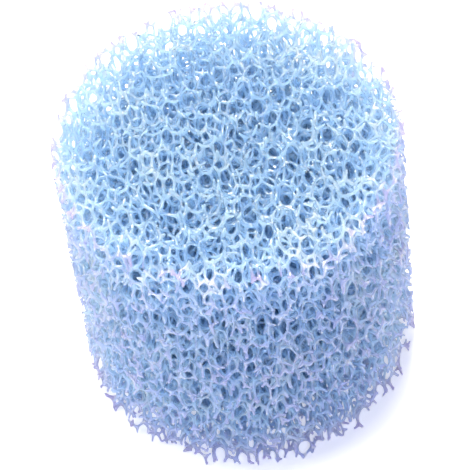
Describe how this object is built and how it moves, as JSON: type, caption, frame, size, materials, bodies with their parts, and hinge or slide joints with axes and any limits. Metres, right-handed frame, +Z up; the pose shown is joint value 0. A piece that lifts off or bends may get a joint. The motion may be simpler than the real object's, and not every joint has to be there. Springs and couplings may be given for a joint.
{
  "type": "aquarium sponge filter",
  "caption": "Round block of coarse open-cell foam that pulls off a slotted strainer tube, with an end cap, a flanged mouth collar and a rubber bush for an intake pipe.",
  "frame": {"origin": "centre of the flat underside, on the surface that the filter stands on", "axes": "+Z up along the axis of the foam block and the tube; X and Y are across it, and the block is round"},
  "size_m": [0.06, 0.06, 0.0585],
  "materials": {
    "foam": "satin",
    "core_plastic": "satin",
    "bush_rubber": "matte"
  },
  "bodies": {
    "core": {"strainer_tube": "core_plastic", "end_cap": "core_plastic", "mouth_collar": "core_plastic", "pipe_bush": "bush_rubber"},
    "foam_block": {"sponge": "foam"}
  },
  "joints": [
    {"name": "sponge_pull_off", "type": "slide", "parent": "core", "child": "foam_block", "axis": [0, 0, 1], "range_m": [0, 0.048]}
  ]
}
